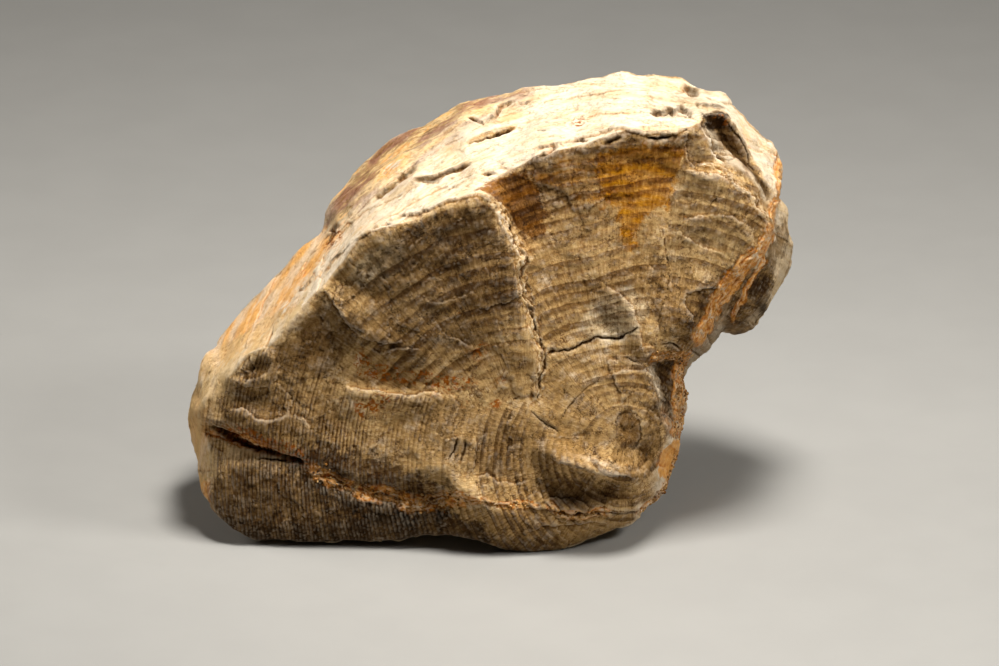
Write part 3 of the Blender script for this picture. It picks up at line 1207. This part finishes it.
def stone_material(colours):
    """Tan broken ends with rings, cream split grain, mineral stains, crusts, cracks and worn edges."""
    material, tree, place = new_material("petrified wood")
    on_break = read_mark(tree, "on_break")
    layers = layer_place(tree, read_mark)
    bends = remap(tree, cloud(tree, place, 0.3, 5.0, 0.65), 0.25, 0.75, -0.45, 0.45)
    coarse_hairs = hairlines(tree, place, 0.16, 0.012)
    hairs = maths(tree, "MAXIMUM", coarse_hairs, hairlines(tree, place, 0.45, 0.02))
    split = split_colour(tree, place, layers, colours)
    colour = blend_colour(tree, on_break, split, broken_colour(tree, place, colours))
    colour = stained(tree, colour, colours, layers, bends)
    colour = grained(tree, colour, place, on_break, hairs)
    colour = ringed(tree, colour, colours, place)
    colour = crusted(tree, colour, colours, place, bends)
    colour = rusty(tree, colour, colours, place)
    colour = weathered_edges(tree, colour, colours, place)
    fine = cloud(tree, place, 0.9, 8.0, 0.75)
    fibres = times(tree, cloud(tree, layers, 2.5, 3.0), opposite(tree, on_break))
    height = plus(tree, fine, times(tree, fibres, 0.5))
    height = maths(tree, "SUBTRACT", height, times(tree, hairs, 0.3))
    bump = add_node(tree, "ShaderNodeBump", {"Height": height, "Strength": 1.0, "Distance": 0.9 * MM})
    add_surface(tree, {
        "Base Color": colour,
        "Roughness": remap(tree, fine, 0.3, 0.7, 0.62, 0.86),
        "Normal": bump.outputs[0],
        "IOR": 1.5,
        "Specular IOR Level": 0.02,
    })
    return material


def plain_material(name, colour, roughness):
    """A finish with a faint mottling."""
    material, tree, place = new_material(name)
    mottle = remap(tree, cloud(tree, place, 40.0 * MM, 4.0), 0.3, 0.7)
    shade = blend_colour(tree, mottle, tuple(c * 0.97 for c in colour), colour)
    add_surface(tree, {"Base Color": shade, "Roughness": roughness})
    return material


def crumb_material(colours):
    """Crumbs and crystals of the crusts, each a little different."""
    material, tree, place = new_material("crust crumbs")
    colour = ramp(tree, cloud(tree, place, 0.55, 4.0, 0.7), (
        (0.38, colours.shade), (0.46, colours.umber), (0.55, colours.clay), (0.68, colours.straw),
    ))
    grit = cloud(tree, place, 3.0, 3.0)
    bump = add_node(tree, "ShaderNodeBump", {"Height": grit, "Strength": 0.6, "Distance": 0.2 * MM})
    add_surface(tree, {
        "Base Color": colour,
        "Roughness": remap(tree, grit, 0.3, 0.7, 0.5, 0.75),
        "Normal": bump.outputs[0],
        "Specular IOR Level": 0.2,
    })
    return material


# --------------------------------------------------------------------------------------------------
# Geometry Nodes


def new_geometry_tree(name, inputs):
    """A Geometry Nodes tree with a geometry way in and out and named inputs: (name, kind, default)."""
    tree = bpy.data.node_groups.new(name, "GeometryNodeTree")
    tree.interface.new_socket("Geometry", in_out="INPUT", socket_type="NodeSocketGeometry")
    tree.interface.new_socket("Geometry", in_out="OUTPUT", socket_type="NodeSocketGeometry")
    for input_name, kind, default in inputs:
        socket = tree.interface.new_socket(input_name, in_out="INPUT", socket_type=kind)
        if default is not None:
            socket.default_value = default
    way_in = tree.nodes.new("NodeGroupInput")
    way_out = tree.nodes.new("NodeGroupOutput")
    return tree, way_in.outputs, way_out.inputs


def finish_tree(tree, geometry, given, result):
    """Makes copies real, gives the material and hands the geometry out."""
    realized = add_node(tree, "GeometryNodeRealizeInstances", {"Geometry": geometry})
    feeds = {"Geometry": realized.outputs[0], "Material": given["Material"]}
    finished = add_node(tree, "GeometryNodeSetMaterial", feeds)
    tree.links.new(finished.outputs[0], result["Geometry"])


def add_tree(obj, tree, values):
    """Puts a Geometry Nodes tree on an object and sets its inputs by their identifiers."""
    modifier = obj.modifiers.new(tree.name, "NODES")
    modifier.node_group = tree
    names = {item.name: item.identifier for item in tree.interface.items_tree if item.in_out == "INPUT"}
    for name, value in values.items():
        modifier[names[name]] = value


def named_mark(tree, name):
    """One of the surface's marks, inside Geometry Nodes."""
    made = add_node(tree, "GeometryNodeInputNamedAttribute", data_type="FLOAT")
    made.inputs["Name"].default_value = name
    return made.outputs["Attribute"]


def flakes(tree, place, scale, height, bend):
    """Flat flakes at different heights, each leaning its own way, with bent borders."""
    half = (0.5, 0.5, 0.5)
    warp_feeds = {"Vector": place, "Scale": scale * 2.5, "Detail": 3.0}
    warp = add_node(tree, "ShaderNodeTexNoise", warp_feeds).outputs[1]
    push = scaled(tree, vectors(tree, "SUBTRACT", warp, half), bend * 2.0)
    warped = vectors(tree, "ADD", place, push)
    cell_feeds = {"Vector": warped, "Scale": scale}
    cells = add_node(tree, "ShaderNodeTexVoronoi", cell_feeds, feature="F1").outputs
    own_way = vectors(tree, "SUBTRACT", cells["Color"], half)
    reach = vectors(tree, "SUBTRACT", warped, cells["Position"])
    lean = add_node(tree, "ShaderNodeVectorMath", {0: own_way, 1: reach}, operation="DOT_PRODUCT")
    level = add_node(tree, "ShaderNodeSeparateXYZ", {0: cells["Color"]}).outputs[0]
    sloped = times(tree, lean.outputs["Value"], scale * height * 2.0)
    return plus(tree, remap(tree, level, 0.0, 1.0, -height, height), sloped)


def crust_place(tree, read):
    """Places measured along and across the crusts, so that their fibres follow them."""
    across, along = read(tree, "crust_across"), read(tree, "crust_along")
    return vector_of(tree, times(tree, across, 1.3), times(tree, along, 0.35))


def relief_tree():
    """Ring steps and fracture roughness on the broken ends, and fibres along the split grain."""
    tree, given, result = new_geometry_tree("Growth rings and split grain", (
        ("Ring relief", "NodeSocketFloat", 0.2 * MM),
        ("Break relief", "NodeSocketFloat", 0.5 * MM),
        ("Grain relief", "NodeSocketFloat", 0.8 * MM),
        ("Crust relief", "NodeSocketFloat", 0.5 * MM),
        ("Seed", "NodeSocketInt", 0),
        ("Material", "NodeSocketMaterial", None),
    ))
    origin = add_node(tree, "GeometryNodeInputPosition").outputs[0]
    shift = vector_of(tree, times(tree, given["Seed"], 17.0))
    place = vectors(tree, "ADD", scaled(tree, origin, 1.0 / MM), shift)
    on_break = named_mark(tree, "on_break")
    # rings wander a little, and each steps down to the next
    bends = remap(tree, cloud(tree, place, 0.05, 2.0), 0.25, 0.75, -0.2, 0.2)
    jitter = remap(tree, cloud(tree, place, 0.3, 3.0), 0.25, 0.75, -0.05, 0.05)
    rings = plus(tree, named_mark(tree, "rings"), plus(tree, bends, jitter))
    within = maths(tree, "FRACT", rings)
    step = maths(tree, "SUBTRACT", remap(tree, within, 0.0, 0.72), remap(tree, within, 0.72, 0.98))
    ring_height = times(tree, step, named_mark(tree, "ring_clarity"), given["Ring relief"])
    # roughness and flakes of the break
    rough = remap(tree, cloud(tree, place, 0.13, 7.0, 0.62), 0.2, 0.8, -1.0, 1.0)
    large_flakes = flakes(tree, place, 0.06, 0.35, 5.0)
    small_flakes = flakes(tree, place, 0.21, 0.16, 1.6)
    rugged = plus(tree, rough, large_flakes, small_flakes)
    break_height = times(tree, rugged, on_break, given["Break relief"])
    # splinters and plates of the split sides follow the layers of the wood
    layers = layer_place(tree, named_mark)
    splinters = remap(tree, cloud(tree, layers, 0.7, 5.0, 0.6), 0.25, 0.75, -1.0, 1.0)
    slabs = remap(tree, cloud(tree, place, 0.06, 6.0, 0.6), 0.3, 0.7, -1.0, 1.0)
    plates = flakes(tree, layers, 0.35, 0.7, 0.5)
    grain = plus(tree, times(tree, splinters, 0.25), times(tree, slabs, 0.6), times(tree, plates, 0.45))
    grain_height = times(tree, grain, opposite(tree, on_break), given["Grain relief"])
    # lumps and furrows of the crusts
    lumps = remap(tree, cloud(tree, crust_place(tree, named_mark), 0.6, 4.0, 0.6), 0.3, 0.7, -1.0, 1.0)
    crust_height = times(tree, lumps, named_mark(tree, "crust"), given["Crust relief"])
    height = plus(tree, ring_height, break_height, grain_height, crust_height)
    offset = scaled(tree, add_node(tree, "GeometryNodeInputNormal").outputs[0], height)
    stored = add_node(
        tree, "GeometryNodeStoreNamedAttribute",
        {"Geometry": given["Geometry"], "Name": "rings", "Value": rings},
        data_type="FLOAT", domain="POINT",
    )
    moved = add_node(tree, "GeometryNodeSetPosition", {"Geometry": stored.outputs[0], "Offset": offset})
    finish_tree(tree, moved.outputs[0], given, result)
    return tree


def random_vector(tree, low, high, seed):
    """A random vector for each crumb."""
    feeds = {0: low, 1: high, "Seed": seed}
    return add_node(tree, "FunctionNodeRandomValue", feeds, data_type="FLOAT_VECTOR").outputs[0]


def crumb_tree():
    """Crumbs scattered where the surface carries a crust."""
    tree, given, result = new_geometry_tree("Crust crumbs", (
        ("Density", "NodeSocketFloat", 400000.0),
        ("Smallest", "NodeSocketFloat", 0.2 * MM),
        ("Largest", "NodeSocketFloat", 0.5 * MM),
        ("Seed", "NodeSocketInt", 0),
        ("Material", "NodeSocketMaterial", None),
    ))
    density = times(tree, remap(tree, named_mark(tree, "crumbly"), 0.35, 0.8), given["Density"])
    scattered = add_node(
        tree, "GeometryNodeDistributePointsOnFaces",
        {"Mesh": given["Geometry"], "Density": density, "Seed": given["Seed"]},
        distribute_method="RANDOM",
    )
    crumb = add_node(tree, "GeometryNodeMeshIcoSphere", {"Radius": 1.0, "Subdivisions": 1})
    turn = random_vector(tree, (0.0, 0.0, 0.0), (6.28, 6.28, 6.28), 3)
    squash = random_vector(tree, (0.6, 0.6, 0.6), (1.5, 1.5, 1.2), 7)
    size_feeds = {2: given["Smallest"], 3: given["Largest"], "Seed": 5}
    size = add_node(tree, "FunctionNodeRandomValue", size_feeds, data_type="FLOAT").outputs[1]
    placed = add_node(tree, "GeometryNodeInstanceOnPoints", {
        "Points": scattered.outputs["Points"],
        "Instance": crumb.outputs["Mesh"],
        "Rotation": turn,
        "Scale": scaled(tree, squash, size),
    })
    finish_tree(tree, placed.outputs[0], given, result)
    return tree


# --------------------------------------------------------------------------------------------------
# Operators


class FOSSIL_OT_stone(bpy.types.Operator):
    """Work the fine surface of the stone and give it its colours"""

    bl_idname = "fossil.stone"
    bl_label = "Stone"

    def execute(self, context):
        shape = context.scene.stone_shape
        stone = copy_of_node("petrified_wood", "stone")
        grid = stone.modifiers.new("Grid", "REMESH")
        grid.mode = "VOXEL"
        grid.voxel_size = shape.grid
        easing = stone.modifiers.new("Smoothing", "SMOOTH")
        easing.factor = 0.5
        easing.iterations = shape.smoothing
        mesh = with_modifiers(stone)
        places = places_of(mesh)
        edges = edges_of(mesh)
        normals = normals_of(mesh)
        facing = smooth_step(-0.02, 0.1, eased(normals @ TO_VIEWER, edges, 4))
        places = soften(places, edges)
        places = raise_ledges(places, normals, facing, shape.ledge_height)
        places = cut_cracks(places, normals, facing, shape.crack_depth)
        move_to(mesh, places)
        mark_surface(mesh)
        add_tree(stone, relief_tree(), {
            "Ring relief": shape.ring_relief,
            "Break relief": shape.break_relief,
            "Grain relief": shape.grain_relief,
            "Crust relief": shape.crust_relief,
            "Seed": shape.seed,
            "Material": stone_material(context.scene.stone_colours),
        })
        mesh = with_modifiers(stone)
        kept_above_floor(mesh)
        mark_wear(mesh)
        mesh = thin_part(stone, hidden_points(mesh), shape.hidden_triangles)
        mesh = thin_part(stone, ~hidden_points(mesh), shape.seen_triangles)
        for face in mesh.polygons:
            face.use_smooth = True
        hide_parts("petrified_wood")
        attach(stone, "root")
        return {"FINISHED"}


class FOSSIL_OT_crumbs(bpy.types.Operator):
    """Scatter crumbs and small crystals over the orange crusts"""

    bl_idname = "fossil.crumbs"
    bl_label = "Crust crumbs"

    def execute(self, context):
        crumbs = bpy.data.objects.new("crust_crumbs", bpy.data.objects["stone"].data.copy())
        context.scene.collection.objects.link(crumbs)
        add_tree(crumbs, crumb_tree(), {
            "Seed": context.scene.stone_shape.seed,
            "Material": crumb_material(context.scene.stone_colours),
        })
        kept_above_floor(with_modifiers(crumbs))
        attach(crumbs, "root")
        return {"FINISHED"}


class FOSSIL_OT_stage(bpy.types.Operator):
    """Lay the pale floor and set up the soft lights and the camera"""

    bl_idname = "fossil.stage"
    bl_label = "Stage"

    def execute(self, context):
        look = context.scene.stage_look
        across, seen_up = VIEW_MIDDLE
        up = (seen_up - VIEW_BACK * math.sin(SIGHT)) / math.cos(SIGHT)
        middle = FRONT_FOOT + Vector((across * MM, VIEW_BACK * MM, up * MM))
        self.lay_floor(context, look.floor)
        for name, power, place, size in LIGHTS:
            self.add_light(context, name, place, size, getattr(look, power), middle)
        self.add_surroundings(context, look.sky)
        self.add_camera(context, middle)
        return {"FINISHED"}

    @staticmethod
    def lay_floor(context, colour):
        """A flat floor on which the stone stands."""
        mesh = bpy.data.meshes.new("floor")
        half = FLOOR_HALF
        corners = ((-half, -half, 0.0), (half, -half, 0.0), (half, half, 0.0), (-half, half, 0.0))
        mesh.from_pydata(corners, [], [(0, 1, 2, 3)])
        mesh.materials.append(plain_material("pale floor", colour, 0.6))
        floor = bpy.data.objects.new("floor", mesh)
        context.scene.collection.objects.link(floor)

    @staticmethod
    def add_light(context, name, place, size, power, target):
        """A square soft light that looks at the target."""
        light_data = bpy.data.lights.new(name, "AREA")
        light_data.shape = "SQUARE"
        light_data.size = size
        light_data.energy = power
        light_data.spread = LIGHT_SPREAD
        light_data.color = LIGHT_COLOUR
        light = bpy.data.objects.new(name, light_data)
        context.scene.collection.objects.link(light)
        light.location = place
        light.rotation_euler = (target - light.location).to_track_quat("-Z", "Y").to_euler()

    @staticmethod
    def add_surroundings(context, strength):
        """A faint even light from all sides."""
        world = bpy.data.worlds.new("pale surroundings")
        world.use_nodes = True
        background = world.node_tree.nodes["Background"]
        background.inputs["Color"].default_value = (*LIGHT_COLOUR, 1.0)
        background.inputs["Strength"].default_value = strength
        context.scene.world = world

    @staticmethod
    def add_camera(context, target):
        """The camera, which looks down along the line of sight."""
        camera_data = bpy.data.cameras.new("camera")
        camera_data.lens = LENS
        camera_data.sensor_width = SENSOR
        camera_data.clip_end = VIEW_END
        camera = bpy.data.objects.new("camera", camera_data)
        context.scene.collection.objects.link(camera)
        away = Vector(TO_VIEWER)
        camera.location = target + away * (VIEW_WIDTH * MM * LENS / SENSOR)
        camera.rotation_euler = (-away).to_track_quat("-Z", "Y").to_euler()
        context.scene.camera = camera
        context.scene.view_settings.view_transform = "Standard"


class FOSSIL_PT_panel(bpy.types.Panel):
    """Lists the pieces of the chunk and the stage"""

    bl_idname = "FOSSIL_PT_panel"
    bl_label = "Petrified wood"
    bl_space_type = "VIEW_3D"
    bl_region_type = "UI"
    bl_category = "Petrified wood"

    def draw(self, context):
        for operator in (FOSSIL_OT_stone, FOSSIL_OT_crumbs, FOSSIL_OT_stage):
            self.layout.operator(operator.bl_idname)
        for group in (context.scene.stone_shape, context.scene.stone_colours, context.scene.stage_look):
            box = self.layout.box()
            for name in group.__annotations__:
                box.prop(group, name)


CLASSES = (
    StoneShape, StoneColours, StageLook,
    FOSSIL_OT_stone, FOSSIL_OT_crumbs, FOSSIL_OT_stage,
    FOSSIL_PT_panel,
)


def register():
    for one in CLASSES:
        bpy.utils.register_class(one)
    bpy.types.Scene.stone_shape = PointerProperty(type=StoneShape)
    bpy.types.Scene.stone_colours = PointerProperty(type=StoneColours)
    bpy.types.Scene.stage_look = PointerProperty(type=StageLook)


def unregister():
    del bpy.types.Scene.stage_look
    del bpy.types.Scene.stone_colours
    del bpy.types.Scene.stone_shape
    for one in reversed(CLASSES):
        bpy.utils.unregister_class(one)


def main():
    register()
    bpy.ops.fossil.stone()
    bpy.ops.fossil.crumbs()
    bpy.ops.fossil.stage()
    bpy.context.view_layer.update()


if __name__ == "__main__":
    main()
